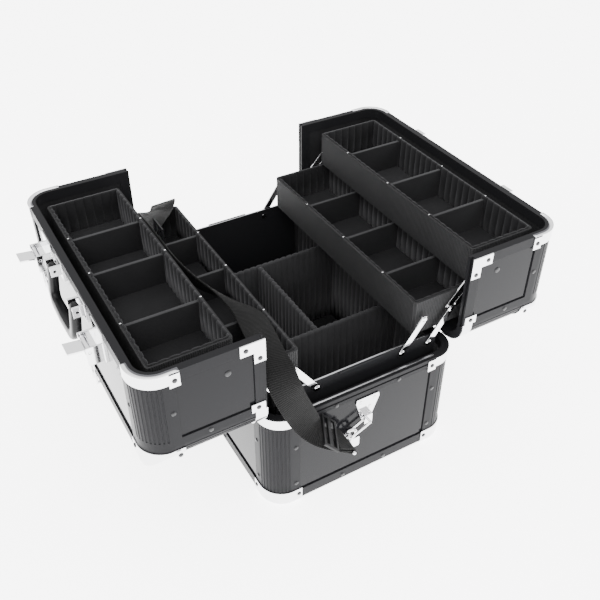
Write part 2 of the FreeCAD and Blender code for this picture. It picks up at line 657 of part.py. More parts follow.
def anchor_plate():
    """A three-cornered plate riveted to the end panel, with a raised tab that the ring hangs in."""
    outline = ((-14, 122), (14, 122), (15, 117), (5, 90), (-7, 90), (-15, 117), (-14, 122))
    wire = Part.makePolygon([Vector(x, Y_FACE, z) for x, z in outline])
    solid = Part.Face(wire).extrude(Vector(0, -1.6, 0))
    bridge = Part.makeBox(10, 7.6, 3, Vector(-7, Y_FACE - 7.7, 97.5))
    tab = Part.makeBox(10, 2, 12.5, Vector(-7, Y_FACE - 7.7, 88))
    solid = solid.fuse([bridge, tab])
    hole = Part.makeCylinder(WIRE + 0.05, 6, RING_TOP + Y_AXIS * (Y_FACE - 9), Y_AXIS)
    heads = [rivet((x, Y_FACE - 1.6, z), (0, -1, 0), 2.2, 0.9) for x, z in ((-9, 117), (9, 117), (3, 106))]
    return solid.cut(hole).fuse(heads)


def ring_shape():
    """A long narrow wire ring: two bars along Y, joined by two legs."""
    back, front = RING_YS
    solid = None
    for end in (RING_TOP, RING_LOW):
        piece = Part.makeCylinder(WIRE, back - front, end + Y_AXIS * front, Y_AXIS)
        for y in RING_YS:
            piece = piece.fuse(Part.makeSphere(WIRE, end + Y_AXIS * y))
        solid = piece if solid is None else solid.fuse(piece)
    for y in RING_YS:
        along = RING_LOW - RING_TOP
        solid = solid.fuse(Part.makeCylinder(WIRE, along.Length, RING_TOP + Y_AXIS * y, along))
    return solid


# The hook turns about the line from the ring's lower bar to the middle of the strap's loop.
HOOK_EYE = RING_LOW + Y_AXIS * (sum(RING_YS) / 2)
LOOP_MID = Vector(-43, -203, 97)
HOOK_AXIS = (LOOP_MID - HOOK_EYE).normalize()
LOOP_END = 18
LOOP_WIRE = 1.9


def hook_shape():
    """A snap hook: an eye on the ring, a trigger block, and a collar that the strap's loop turns in."""
    eye = Part.makeTorus(6.6, 2.0, HOOK_EYE, Y_AXIS)
    trigger = Part.makeBox(13, 4, 14, HOOK_EYE + Vector(-2, -2, -21))
    trigger = trigger.makeFillet(1.4, [e for e in trigger.Edges if abs(e.tangentAt(0).y) > 0.9])
    neck = Part.makeCylinder(3.0, 8, HOOK_EYE + HOOK_AXIS * 6.5, HOOK_AXIS)
    collar = Part.makeCylinder(4.4, 4, HOOK_EYE + HOOK_AXIS * 11, HOOK_AXIS)
    bore = Part.makeCylinder(1.85, 8, HOOK_EYE + HOOK_AXIS * 9, HOOK_AXIS)
    return eye.fuse([trigger, neck, collar]).cut(bore)


def loop_shape():
    """The D-shaped loop that the webbing is folded round, with the stud that turns in the hook."""
    hub = HOOK_EYE + HOOK_AXIS * 18
    stud = Part.makeCylinder(1.8, 8.6, HOOK_EYE + HOOK_AXIS * 9.4, HOOK_AXIS)
    solid = stud.fuse(Part.makeSphere(3.2, hub))
    for side in (-1, 1):
        corner = LOOP_MID + Y_AXIS * (side * LOOP_END)
        leg = corner - hub
        solid = solid.fuse(Part.makeCylinder(LOOP_WIRE, leg.Length, hub, leg))
        solid = solid.fuse(Part.makeSphere(LOOP_WIRE, corner))
    bar = Part.makeCylinder(LOOP_WIRE, 2 * LOOP_END, LOOP_MID - Y_AXIS * LOOP_END, Y_AXIS)
    return solid.fuse(bar)


node("ring_plates", both_ends("ring_plates", drawn("ring_plate_near", anchor_plate())))
ring_near = node("ring_near", drawn("ring_near", ring_shape()))
node("ring_far", mirror("ring_far", ring_near, (0, 1, 0)))
hook_near = node("hook_near", drawn("hook_near", hook_shape()))
node("hook_far", mirror("hook_far", hook_near, (0, 1, 0)))
loop_near = node("strap_eye_near", drawn("strap_eye_near", loop_shape()))
node("strap_eye_far", mirror("strap_eye_far", loop_near, (0, 1, 0)))


# ---------------------------------------------------------------- strap
def band(sections, thickness):
    """A ribbon through sections, each a middle point and a vector from there to one edge."""
    rings = []
    for k, (middle, half) in enumerate(sections):
        before, after = sections[max(k - 1, 0)][0], sections[min(k + 1, len(sections) - 1)][0]
        m, w = Vector(*middle), Vector(*half)
        n = (Vector(*after) - Vector(*before)).cross(w).normalize() * (thickness / 2)
        rings.append([m + w + n, m - w + n, m - w - n, m + w - n])
    triangles = [(q[0], q[1], q[2]) for q in (rings[0], rings[-1])]
    triangles += [(q[0], q[2], q[3]) for q in (rings[0], rings[-1])]
    for a, b in zip(rings, rings[1:]):
        for k in range(4):
            p, q, r, u = a[k], a[(k + 1) % 4], b[(k + 1) % 4], b[k]
            triangles += [(p, q, r), (p, r, u)]
    faces = [Part.Face(Part.makePolygon([p, q, r, p])) for p, q, r in triangles]
    solid = Part.makeSolid(Part.makeShell(faces))
    return solid if solid.Volume > 0 else solid.reversed()


H = cell("strap_wid") / 2
# It hangs from the hook's loop, turns upright, and climbs in front of the end wall.
hanging = [
    ((-45.1, -203, 98.4), (0, -H, 0)),
    ((-53, -203, 104), (-1, -H, -1)),
    ((-64, -202, 113), (-5, 1 - H, -1)),
    ((-75, -199, 124), (-11, 4 - H, -1)),
    ((-83, -196, 137), (1 - H, -6, -2)),
]
# It crosses the left inner tray, standing on edge beside the outer tray in the middle.
across = [
    ((-90, -193, 152), (1 - H, -3, -4)),
    ((-97, -190, 170), (1 - H, -2, -4)),
    ((-103, -184, 190), (-H, 2, -3)),
    ((-104, -171, 205), (-H, 4, -1)),
    ((-103, -153, 209), (-H, 4, 0)),
    ((-98, -127, 208), (-H, 4, 0)),
    ((-93, -100, 206), (-H, 3, 1)),
    ((-92, -76, 206), (1 - H, 2, 5)),
    ((-102, -53, 211), (-12, 3, 10)),
    ((-121, -28, 221), (-7, 2, 14)),
    ((-133, -2, 229), (-3, 0, H)),
    ((-137, 30, 232), (-0.5, 0, H)),
    ((-137, 60, 232.5), (-1, 0, H)),
    ((-132, 90, 231), (-6, 4, 14)),
    ((-118, 115, 223), (-13, 6, 7)),
    ((-100, 138, 213), (-H, 1, 3)),
    ((-87, 157, 208.5), (-H, -2, 0)),
    ((-83, 172, 202), (-H, -1, 0)),
    ((-84, 184, 184), (-H, -1, -1)),
    ((-88, 190, 165), (-H, 0, -3)),
    ((-88, 193, 150), (-H, 1, -4)),
]
hanging_far = [((m[0], -m[1], m[2]), (w[0], -w[1], w[2])) for m, w in reversed(hanging)]
node("strap", drawn("strap", band(hanging + across + hanging_far, cell("strap_thk"))))

LOCK_RISE = 6.8
slide = Part.makeBox(1.6, 28, 46, Vector(-134.6, 31, 213))
for y in (35, 46):
    slide = slide.cut(Part.makeBox(4, 8, 38, Vector(-136, y, 217)))
tail_mid, tail_half = Vector(-68, -201.5, 117), Vector(-7, -14.4, -1).normalize()
tail_way = Vector(-11, 2.5, 10).cross(tail_half).normalize()
lock_turn = FreeCAD.Rotation(tail_half, tail_way.cross(tail_half), tail_way, "XZY")
lock = Part.makeBox(40, 20, 2.4, Vector(-20, -10, LOCK_RISE))
for y in (-7.5, 2.5):
    lock = lock.cut(Part.makeBox(34, 5, 12, Vector(-17, y, 0)))
lock.Placement = FreeCAD.Placement(tail_mid, lock_turn)
buckles = [drawn("strap_slide", slide), drawn("strap_lock", lock)]
node("strap_buckle", group("strap_buckle", buckles))

# ---------------------------------------------------------------- handle (left lid)
# The fittings screw to the outer face of the lid's rim, with a packing piece over the panel below.
FACE = -LX1
THK = cell("mount_thk")
PANEL_GAP = INSET


def mounting(name, half, at, low, high):
    """A plate on the rim's face and the packing behind it, centred at one place along Y."""
    plate = box(name + "_plate", ("mount_thk", 2 * half, high - low), ("%g" % (FACE - THK), at - half, low))
    packing = box(name + "_packing", (PANEL_GAP, 2 * half, RZ - 0.1 - low), ("%g" % FACE, at - half, low))
    return [plate, packing]


HZ = cell("handle_z")
HX = FACE - 8.4
G = cell("grip_half")
bracket_lugs = [
    box("bracket_lug_%d" % i, (12, 2.4, 12), ("%g" % (FACE - 13), y, HZ - 6))
    for i, y in enumerate((-G - 9.2, -G + 6.8))
]
bracket_bore = rod("bracket_bore", 1.65, 40, ("%g" % HX, -G - 20, HZ), "Y")
bracket_solid = fuse("bracket_solid", mounting("bracket", 11, -G, 234, 256) + bracket_lugs)
node("handle_brackets", both_ends("handle_brackets", cut("bracket_near", bracket_solid, bracket_bore)))


def handle_shape():
    """A moulded grip: a bar between two broad legs, with a pivot pin across each leg."""
    bar_z, bar_x = HZ - 37.5, HX - 4.8
    outline = ((HX + 6.2, HZ), (HX - 6.2, HZ), (bar_x - 6, bar_z + 3), (bar_x - 6, bar_z - 3),
               (bar_x + 5, bar_z - 6), (bar_x + 6, bar_z + 10), (HX + 6.2, HZ))
    side = Part.Face(Part.makePolygon([Vector(x, -G - 6.4, z) for x, z in outline]))
    head = Part.makeCylinder(6.2, 12.8, Vector(HX, -G - 6.4, HZ), Y_AXIS)
    pin = Part.makeCylinder(1.6, 18.6, Vector(HX, -G - 9.3, HZ), Y_AXIS)
    end = side.extrude(Vector(0, 12.8, 0)).fuse([head, pin])
    far = end.mirror(Vector(0, 0, 0), Y_AXIS)
    bar = Part.makeCylinder(7, 2 * G - 4, Vector(bar_x, -G + 2, bar_z), Y_AXIS)
    return end.fuse([far, bar])


node("handle_grip", drawn("handle_grip", handle_shape()))

# ---------------------------------------------------------------- latches and their catches
LA = cell("latch_at")
LEVER_X, LEVER_Z = FACE - 14, 238
HASP_X, HASP_Z = FACE - 12, 227
latch_cheeks = [
    box("latch_cheek_%d" % i, (16.5, 1.6, 21), ("%g" % (FACE - 17.5), y, 223))
    for i, y in enumerate((-LA - 13.5, -LA + 11.9))
]
latch_bore = rod("latch_bore", 1.55, 40, ("%g" % LEVER_X, -LA - 20, LEVER_Z), "Y")
latch_solid = fuse("latch_solid", mounting("latch", 16, -LA, 222, 256) + latch_cheeks)
latch_bored = cut("latch_bored", latch_solid, latch_bore)
hasp_pin = rod("hasp_pin", 1.2, 26, ("%g" % HASP_X, -LA - 13, HASP_Z), "Y")
node("latch_plates", both_ends("latch_plates", fuse("latch_near", [latch_bored, hasp_pin])))


def lever_shape():
    """The lever stands open: a short paddle that reaches out from its pivot."""
    pivot = Part.makeCylinder(1.5, 26.4, Vector(LEVER_X, -LA - 13.2, LEVER_Z), Y_AXIS)
    hub = Part.makeCylinder(3.4, 22.8, Vector(LEVER_X, -LA - 11.4, LEVER_Z), Y_AXIS)
    paddle = Part.makeBox(19, 17, 1.8, Vector(LEVER_X - 20, -LA - 8.5, LEVER_Z - 0.9))
    paddle.rotate(Vector(LEVER_X, 0, LEVER_Z), Y_AXIS, 6)
    return hub.fuse(pivot).fuse(paddle)


def hasp_shape():
    """Two thin prongs that hang from the latch's lower pin and reach for the catch."""
    solid = Part.makeCylinder(2.6, 15, Vector(HASP_X, -LA - 7.5, HASP_Z), Y_AXIS)
    for side in (-1, 1):
        prong = Part.makeBox(1.6, 2.4, 34, Vector(HASP_X - 0.8, -LA + side * 5 - 1.2, HASP_Z - 36))
        hook = Part.makeBox(4, 2.4, 1.6, Vector(HASP_X - 0.8, -LA + side * 5 - 1.2, HASP_Z - 36))
        solid = solid.fuse([prong, hook])
    return solid.cut(Part.makeCylinder(1.25, 30, Vector(HASP_X, -LA - 15, HASP_Z), Y_AXIS))


for name, shape in (("latch_lever", lever_shape()), ("latch_hasp", hasp_shape())):
    near = node(name + "_near", drawn(name + "_near", shape))
    node(name + "_far", mirror(name + "_far", near, (0, 1, 0)))

catch_mount = fuse("catch_mount", mounting("catch", 13, -LA, 234, 256.5))
catch_right = mirror("catch_right", catch_mount, (1, 0, 0))
catch_lip = box("catch_lip", (7, 16, 2), ("%g" % -FACE, -LA - 8, 254))
catch_hook = box("catch_hook", (1.6, 16, 6), ("%g" % (-FACE + 6), -LA - 8, 250))
node("latch_catches", both_ends("latch_catches", fuse("catch_near", [catch_right, catch_lip, catch_hook])))

# ---------------------------------------------------------------- checks and export
doc.recompute()
for obj in doc.Objects:
    if "Invalid" in obj.State or "Error" in obj.State:
        raise RuntimeError("%s did not compute: %s" % (obj.Label, obj.State))
for obj in NODES:
    if obj.Shape.isNull() or not obj.Shape.isValid() or not obj.Shape.Solids:
        raise RuntimeError("%s has no valid solid" % obj.Label)
os.makedirs("parts", exist_ok=True)
for obj in NODES:
    obj.Shape.exportStep("parts/%s.step" % obj.Label)
print(len(NODES), "sub-parts")
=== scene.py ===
import math

import bmesh
import bpy
import numpy as np
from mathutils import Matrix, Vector


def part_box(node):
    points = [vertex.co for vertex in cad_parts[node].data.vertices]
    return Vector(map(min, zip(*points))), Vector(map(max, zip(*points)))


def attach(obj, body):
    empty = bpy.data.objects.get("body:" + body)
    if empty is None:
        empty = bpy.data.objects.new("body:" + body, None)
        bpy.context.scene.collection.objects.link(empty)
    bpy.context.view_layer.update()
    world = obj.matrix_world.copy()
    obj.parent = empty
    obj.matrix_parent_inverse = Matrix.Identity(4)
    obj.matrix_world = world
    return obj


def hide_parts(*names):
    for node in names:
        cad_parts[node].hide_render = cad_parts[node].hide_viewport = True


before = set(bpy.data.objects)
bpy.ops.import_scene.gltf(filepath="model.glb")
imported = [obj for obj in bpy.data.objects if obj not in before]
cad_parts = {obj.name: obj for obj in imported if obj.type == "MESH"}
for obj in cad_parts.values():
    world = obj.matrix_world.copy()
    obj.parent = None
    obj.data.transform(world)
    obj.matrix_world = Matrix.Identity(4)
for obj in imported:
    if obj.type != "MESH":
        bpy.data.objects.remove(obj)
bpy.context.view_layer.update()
MM = 0.001


def millimetres(node):
    """The lowest and highest corners of a node."""
    return [[c / MM for c in corner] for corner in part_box(node)]


# ------------------------------------------------------------------ materials
def new_material(name, colour, rough, metallic=0.0, spec=0.5):
    mat = bpy.data.materials.new(name)
    mat.use_nodes = True
    nodes = mat.node_tree.nodes
    shader = nodes["Principled BSDF"]
    shader.inputs["Base Color"].default_value = (*colour, 1)
    shader.inputs["Roughness"].default_value = rough
    shader.inputs["Metallic"].default_value = metallic
    shader.inputs["Specular IOR Level"].default_value = spec
    return mat, nodes, mat.node_tree.links, shader


def add(nodes, kind, **values):
    node = nodes.new(kind)
    for key, value in values.items():
        if hasattr(node, key):
            setattr(node, key, value)
        else:
            node.inputs[key].default_value = value
    return node


def math_node(nodes, links, op, *values):
    node = nodes.new("ShaderNodeMath")
    node.operation = op
    for slot, value in enumerate(values):
        if isinstance(value, (int, float)):
            node.inputs[slot].default_value = value
        else:
            links.new(value, node.inputs[slot])
    return node.outputs[0]


def wave(nodes, links, value, length):
    """A sine that repeats every length of value."""
    turns = math_node(nodes, links, "MULTIPLY", value, 2 * math.pi / length)
    return math_node(nodes, links, "SINE", turns)


def centred(nodes, links, signal, gain):
    """A signal that swings both ways about zero, scaled and moved to swing about a half."""
    return math_node(nodes, links, "MULTIPLY_ADD", signal, gain, 0.5)


def object_vector(nodes):
    return nodes.new("ShaderNodeTexCoord").outputs["Object"]


def axes(nodes, links, vector):
    split = nodes.new("ShaderNodeSeparateXYZ")
    links.new(vector, split.inputs[0])
    return split.outputs["X"], split.outputs["Y"], split.outputs["Z"]


def bump(nodes, links, shader, height, strength, distance):
    node = add(nodes, "ShaderNodeBump", Strength=strength, Distance=distance)
    links.new(height, node.inputs["Height"])
    links.new(node.outputs[0], shader.inputs["Normal"])
    return node


def noise(nodes, links, vector, scale, detail=3.0, rough=0.5):
    node = add(nodes, "ShaderNodeTexNoise", Scale=scale, Detail=detail, Roughness=rough)
    links.new(vector, node.inputs["Vector"])
    return node.outputs["Fac"]


def ramp(nodes, links, fac, low, high):
    node = nodes.new("ShaderNodeValToRGB")
    node.color_ramp.elements[0].color = (*low, 1)
    node.color_ramp.elements[1].color = (*high, 1)
    links.new(fac, node.inputs[0])
    return node.outputs[0]


def gloss_black():
    colour = (0.006, 0.006, 0.007)
    mat, nodes, links, shader = new_material("gloss_black_panel", colour, 0.09, spec=0.075)
    vector = object_vector(nodes)
    haze = noise(nodes, links, vector, 9.0, 2.0)
    rough = add(nodes, "ShaderNodeMapRange", **{"To Min": 0.07, "To Max": 0.16})
    links.new(haze, rough.inputs["Value"])
    links.new(rough.outputs[0], shader.inputs["Roughness"])
    ripple = noise(nodes, links, vector, 3.5, 1.0)
    bump(nodes, links, shader, ripple, 0.12, 0.004)
    return mat


def black_aluminium():
    mat, nodes, links, shader = new_material("black_aluminium", (0.011, 0.011, 0.012), 0.36, spec=0.045)
    vector = object_vector(nodes)
    grain = noise(nodes, links, vector, 420.0, 2.0)
    bump(nodes, links, shader, grain, 0.05, 0.0004)
    return mat


def chrome():
    mat, nodes, links, shader = new_material("chrome", (0.70, 0.70, 0.71), 0.07, metallic=1.0)
    vector = object_vector(nodes)
    wobble = noise(nodes, links, vector, 55.0, 1.0)
    soft = add(nodes, "ShaderNodeBevel", Radius=0.0006)
    soft.samples = 4
    node = bump(nodes, links, shader, wobble, 0.06, 0.001)
    links.new(soft.outputs[0], node.inputs["Normal"])
    return mat


def steel():
    return new_material("plated_steel", (0.32, 0.32, 0.33), 0.28, metallic=1.0)[0]


def rivet_black():
    return new_material("rivet_dark", (0.02, 0.02, 0.021), 0.3, metallic=0.4, spec=0.3)[0]


def velvet(name="velvet", colour=(0.0075, 0.0075, 0.008)):
    mat, nodes, links, shader = new_material(name, colour, 0.92, spec=0.15)
    shader.inputs["Sheen Weight"].default_value = 0.2
    shader.inputs["Sheen Roughness"].default_value = 0.45
    shader.inputs["Sheen Tint"].default_value = (0.5, 0.5, 0.52, 1)
    vector = object_vector(nodes)
    nap = noise(nodes, links, vector, 900.0, 2.0)
    patch = noise(nodes, links, vector, 28.0, 2.0)
    dark, light = (tuple(c * factor for c in colour) for factor in (0.75, 1.5))
    tint = ramp(nodes, links, patch, dark, light)
    links.new(tint, shader.inputs["Base Color"])
    bump(nodes, links, shader, nap, 0.25, 0.0006)
    return mat


def tray_cloth():
    """Fine upright ribs crossed by a finer weft, as on corded covering cloth."""
    mat, nodes, links, shader = new_material("tray_cloth", (0.014, 0.014, 0.015), 0.8, spec=0.2)
    vector = object_vector(nodes)
    x, y, z = axes(nodes, links, vector)
    along = math_node(nodes, links, "ADD", x, y)
    jitter = math_node(nodes, links, "MULTIPLY", noise(nodes, links, vector, 240.0, 2.0), 0.0009)
    ribs = wave(nodes, links, math_node(nodes, links, "ADD", along, jitter), 0.0022)
    weft = math_node(nodes, links, "MULTIPLY", wave(nodes, links, z, 0.0016), 0.45)
    height = math_node(nodes, links, "ADD", ribs, weft)
    level = centred(nodes, links, height, 0.32)
    tint = ramp(nodes, links, level, (0.005, 0.005, 0.0055), (0.028, 0.028, 0.029))
    links.new(tint, shader.inputs["Base Color"])
    bump(nodes, links, shader, height, 0.5, 0.0004)
    return mat


def black_plastic():
    mat, nodes, links, shader = new_material("black_plastic", (0.006, 0.006, 0.0065), 0.28, spec=0.14)
    vector = object_vector(nodes)
    bump(nodes, links, shader, noise(nodes, links, vector, 300.0, 2.0), 0.06, 0.0004)
    return mat


def webbing():
    """Woven webbing: u runs along the strap in metres, v across it."""
    mat, nodes, links, shader = new_material("webbing", (0.006, 0.006, 0.006), 0.65, spec=0.08)
    shader.inputs["Sheen Weight"].default_value = 0.02
    coords = nodes.new("ShaderNodeUVMap")
    coords.uv_map = "weave"
    u, v, _ = axes(nodes, links, coords.outputs[0])
    warp = wave(nodes, links, v, 0.0026)
    twill = math_node(nodes, links, "ADD", u, math_node(nodes, links, "MULTIPLY", v, 0.8))
    height = math_node(nodes, links, "MULTIPLY", warp, wave(nodes, links, twill, 0.0021))
    level = centred(nodes, links, height, 0.5)
    tint = ramp(nodes, links, level, (0.001, 0.001, 0.001), (0.0125, 0.0125, 0.0125))
    links.new(tint, shader.inputs["Base Color"])
    bump(nodes, links, shader, height, 0.7, 0.0005)
    return mat


FINISH = {
    "gloss": gloss_black(),
    "aluminium": black_aluminium(),
    "chrome": chrome(),
    "steel": steel(),
    "rivet": rivet_black(),
    "velvet": velvet(),
    "cloth": tray_cloth(),
    "plastic": black_plastic(),
    "webbing": webbing(),
    # Paler velvet for the upward faces of the tray dividers: a painted highlight of the light falling on
    # their tops.
    "edge": velvet("velvet_painted_highlight", (0.022, 0.022, 0.023)),
    "liner": velvet("velvet_base", (0.019, 0.019, 0.02)),
}


def material_for(node):
    if "rivets" in node:
        return FINISH["rivet"]
    if node.startswith("hinge"):
        return FINISH["steel"]
    if node.endswith("panels"):
        return FINISH["gloss"]
    if "posts" in node or "profiles" in node or node in ("base_rim", "base_edge_strip", "link_plates"):
        return FINISH["aluminium"]
    if "lining" in node or "dividers" in node:
        return FINISH["velvet"]
    if "tray" in node:
        return FINISH["cloth"]
    if node == "strap":
        return FINISH["webbing"]
    if node in ("strap_buckle", "handle_grip"):
        return FINISH["plastic"]
    return FINISH["chrome"]


for name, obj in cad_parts.items():
    obj.data.materials.clear()
    obj.data.materials.append(material_for(name))


# ------------------------------------------------------------------ meshes
def mesh_piece(name, verts, faces, material):
    """A closed mesh from points in millimetres, shaded smooth, with its faces turned to point out."""
    mesh = bpy.data.meshes.new(name)
    mesh.from_pydata([tuple(c * MM for c in v) for v in verts], [], faces)
    mesh.update()
    for polygon in mesh.polygons:
        polygon.use_smooth = True
    work = bmesh.new()
    work.from_mesh(mesh)
    bmesh.ops.recalc_face_normals(work, faces=work.faces)
    work.to_mesh(mesh)
    work.free()
    obj = bpy.data.objects.new(name, mesh)
    bpy.context.collection.objects.link(obj)
    mesh.materials.append(material)
    return obj


def rings_to_faces(count, size, ring_loop=False):
    """Faces between consecutive rings of points; a row that isn't a loop has its ends filled."""
    faces = []
    last = count if ring_loop else count - 1
    for k in range(last):
        a, b = k * size, ((k + 1) % count) * size
        for i in range(size):
            j = (i + 1) % size
            faces.append((a + i, a + j, b + j, b + i))
    if not ring_loop:
        faces.append(tuple(range(size)))
        faces.append(tuple((count - 1) * size + i for i in reversed(range(size))))
    return faces


def soft_box(name, low, high, bevel, material, painted_highlight_material=None):
    """A block with rounded edges; the narrow top can take its own material, used for a paler velvet that is
    a painted highlight.
    """
    work = bmesh.new()
    bmesh.ops.create_cube(work, size=1.0)
    for vert in work.verts:
        vert.co = Vector([(a + b) / 2 + c * (b - a) for c, a, b in zip(vert.co, low, high)]) * MM
    bmesh.ops.bevel(work, geom=list(work.edges), offset=bevel * MM, segments=3, profile=0.5,
                    affect="EDGES")
    mesh = bpy.data.meshes.new(name)
    work.to_mesh(mesh)
    work.free()
    obj = bpy.data.objects.new(name, mesh)
    bpy.context.collection.objects.link(obj)
    mesh.materials.append(material)
    if painted_highlight_material:
        mesh.materials.append(painted_highlight_material)
    for polygon in mesh.polygons:
        polygon.use_smooth = True
        # Faces pointing up get the second, paler material: a painted highlight on the top.
        if painted_highlight_material and polygon.normal.z > 0.6:
            polygon.material_index = 1
    return obj


# ------------------------------------------------------------------ pleated linings
def rounded_outline(x0, x1, y0, y1, radius, step=1.0):
    """Points and inward directions round a rectangle with rounded corners."""
    points = []
    corners = [(x1 - radius, y1 - radius, 0), (x0 + radius, y1 - radius, 90),
               (x0 + radius, y0 + radius, 180), (x1 - radius, y0 + radius, 270)]
    for k, (cx, cy, start) in enumerate(corners):
        turns = max(3, int(radius * math.pi / 2 / step))
        for i in range(turns + 1):
            angle = math.radians(start + 90 * i / turns)
            d = (math.cos(angle), math.sin(angle))
            points.append((cx + radius * d[0], cy + radius * d[1], -d[0], -d[1]))
        nx, ny, _ = corners[(k + 1) % 4]
        angle = math.radians(start + 90)
        d = (math.cos(angle), math.sin(angle))
        ax, ay = cx + radius * d[0], cy + radius * d[1]
        bx, by = nx + radius * d[0], ny + radius * d[1]
        count = int(math.hypot(bx - ax, by - ay) / step)
        for i in range(1, count):
            t = i / count
            points.append((ax + (bx - ax) * t, ay + (by - ay) * t, -d[0], -d[1]))
    return points


def pleat(distance, pitch):
    """0 in the seam between two ribs, 1 on the crown of a rib."""
    return abs(math.sin(math.pi * distance / pitch)) ** 0.38


def pleated_lining(name, outline, bottom, top, pitch, body, over, cloth):
    """Cloth gathered into upright ribs on the inside of a wall, turned over its top edge."""
    travelled = [0.0]
    for a, b in zip(outline, outline[1:] + outline[:1]):
        travelled.append(travelled[-1] + math.hypot(b[0] - a[0], b[1] - a[1]))
    total = travelled[-1]
    pitch = total / round(total / pitch)
    verts = []
    for (x, y, nx, ny), s in zip(outline, travelled):
        crown = pleat(s, pitch)
        lean = 0.25 * math.sin(s * 0.37) + 0.2 * math.sin(s * 1.13)
        depth = 0.5 + 1.9 * crown
        rise = top + 0.25 + 0.75 * crown + 0.1 * lean
        section = [(0.0, bottom), (depth, bottom), (depth + 0.1 * lean, rise - 1.4), (0.62 * depth, rise),
                   (-over, rise - 0.1), (-over, top - 0.05), (0.0, top - 0.05)]
        verts += [(x + nx * offset, y + ny * offset, z) for offset, z in section]
    faces = rings_to_faces(len(outline), len(section), ring_loop=True)
    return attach(mesh_piece(name, verts, faces, FINISH[cloth]), body)


def pleated_wall(name, start, end, thickness, bottom, top, pitch, body):
    """A partition that stands free, with ribs on both sides and a scalloped top."""
    (ax, ay), (bx, by) = start, end
    length = math.hypot(bx - ax, by - ay)
    dx, dy = (bx - ax) / length, (by - ay) / length
    pitch = length / round(length / pitch)
    count = int(length)
    verts = []
    for i in range(count + 1):
        s = length * i / count
        crown = pleat(s, pitch)
        half = thickness * (0.28 + 0.22 * crown)
        rise = top - 1.6 * (1 - crown)
        x, y = ax + dx * s, ay + dy * s
        section = [(-half, bottom), (half, bottom), (half, rise - 1.6), (0.5 * half, rise),
                   (-0.5 * half, rise), (-half, rise - 1.6)]
        verts += [(x - dy * across, y + dx * across, z) for across, z in section]
    faces = rings_to_faces(count + 1, len(section))
    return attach(mesh_piece(name, verts, faces, FINISH["liner"]), body)


# ------------------------------------------------------------------ trays
WALL = 3.0
TRAY_RIB = 10.6
STAPLE = (2.0, 1.4, 0.75)
DIVIDER_PLACES = {
    "inner_tray_right": (-92, -10, 75),
    "outer_tray_right": (-78, 4, 92),
    "inner_tray_left": (-84, 8, 85),
    "outer_tray_left": (-86, 6, 78),
}


def tray_lining(tray, x0, x1, y_in, floor, rim):
    outline = rounded_outline(x0, x1, -y_in, y_in, 2.5, 0.8)
    pleated_lining(tray + "_lining", outline, floor, rim, TRAY_RIB, tray, 1.0, "velvet")
    pad = soft_box(tray + "_pad", (x0 + 0.1, -y_in + 0.1, floor - 0.02),
                   (x1 - 0.1, y_in - 0.1, floor + 0.6), 0.2, FINISH["velvet"])
    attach(pad, tray)


def staple(name, x, y, rim, tray):
    """A low clip on the tray's edge that holds the end of a divider."""
    length, width, height = STAPLE
    piece = soft_box(name, (x - length / 2, y - width / 2, rim + 0.5),
                     (x + length / 2, y + width / 2, rim + 0.5 + height), 0.25, FINISH["chrome"])
    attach(piece, tray)


def tray_dividers(tray, x0, x1, floor, rim, places):
    """Padded dividers across a tray, each with a painted highlight on top (paler velvet where the light
    falls) and a staple at both ends.
    """
    kind, hand = tray.rsplit("_", 1)
    for k, y in enumerate(places, 1):
        divider = soft_box("%s_divider_%d" % (tray, k), (x0 + 0.3, y - 2, floor),
                           (x1 - 0.3, y + 2, rim - 2.6), 0.9, FINISH["velvet"], FINISH["edge"])
        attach(divider, tray)
        if k == 1:
            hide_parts("%s_dividers_%s" % (kind, hand))
        for end, x in enumerate((x0 - 1.2, x1 + 1.2)):
            staple("%s_staple_%d_%d" % (tray, k, end), x, y, rim, tray)


for tray, places in DIVIDER_PLACES.items():
    low, high = millimetres(tray)
    x0, x1, floor, rim = low[0] + WALL, high[0] - WALL, low[2] + WALL, high[2]
    tray_lining(tray, x0, x1, high[1] - WALL, floor, rim)
    tray_dividers(tray, x0, x1, floor, rim, places)


# ------------------------------------------------------------------ inside of the base
BACKING = 1.6
BASE_FLOOR = 12.5
PARTITION = {"thickness": 6.4, "bottom": BASE_FLOOR, "top": 136.4, "pitch": 9.0, "body": "base"}
PARTITION_REACH, PARTITION_Y = 111.4, 72.0


def base_linings():
    """The pleated lining of the walls, two partitions across and one along between them."""
    low, high = millimetres("base_lining")
    outline = rounded_outline(low[0] + BACKING, high[0] - BACKING, low[1] + BACKING, high[1] - BACKING, 19.8)
    pleated_lining("base_pleats", outline, BASE_FLOOR, high[2] - 1, 10.0, "base", 0.0, "liner")
    for label, y in (("near", -PARTITION_Y), ("far", PARTITION_Y)):
        start, end = (-PARTITION_REACH, y), (PARTITION_REACH, y)
        wall = pleated_wall("base_partition_" + label, start, end, **PARTITION)
        if label == "near":
            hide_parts("base_dividers")
    reach = PARTITION_Y - 1.8
    pleated_wall("base_partition_long", (0, -reach), (0, reach), **PARTITION)


def painted_highlight_strips():
    """Thin steel strips along the top of the raised end plates and of the rim's tongue: painted highlights
    that stand in for the glints along these edges.
    """
    for label, sign in (("near", -1), ("far", 1)):
        for part, reach, inner, outer, z in (("plate", 85.5, 159.3, 161.1, 156.0),
                                             ("tongue", 87.6, 175.6, 177.6, 140.2)):
            low, high = sorted((sign * inner, sign * outer))
            # Each strip is a painted highlight: a pale steel line where the edge catches the light.
            line = soft_box("bright_edge_%s_%s" % (part, label), (-reach, low, z - 0.2),
                            (reach, high, z + 0.15), 0.1, FINISH["steel"])
            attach(line, "base")


base_linings()
painted_highlight_strips()


# ------------------------------------------------------------------ corner trim on the lids' rims
TRIM_RADIUS, TRIM_TURNS = 27.0, 24


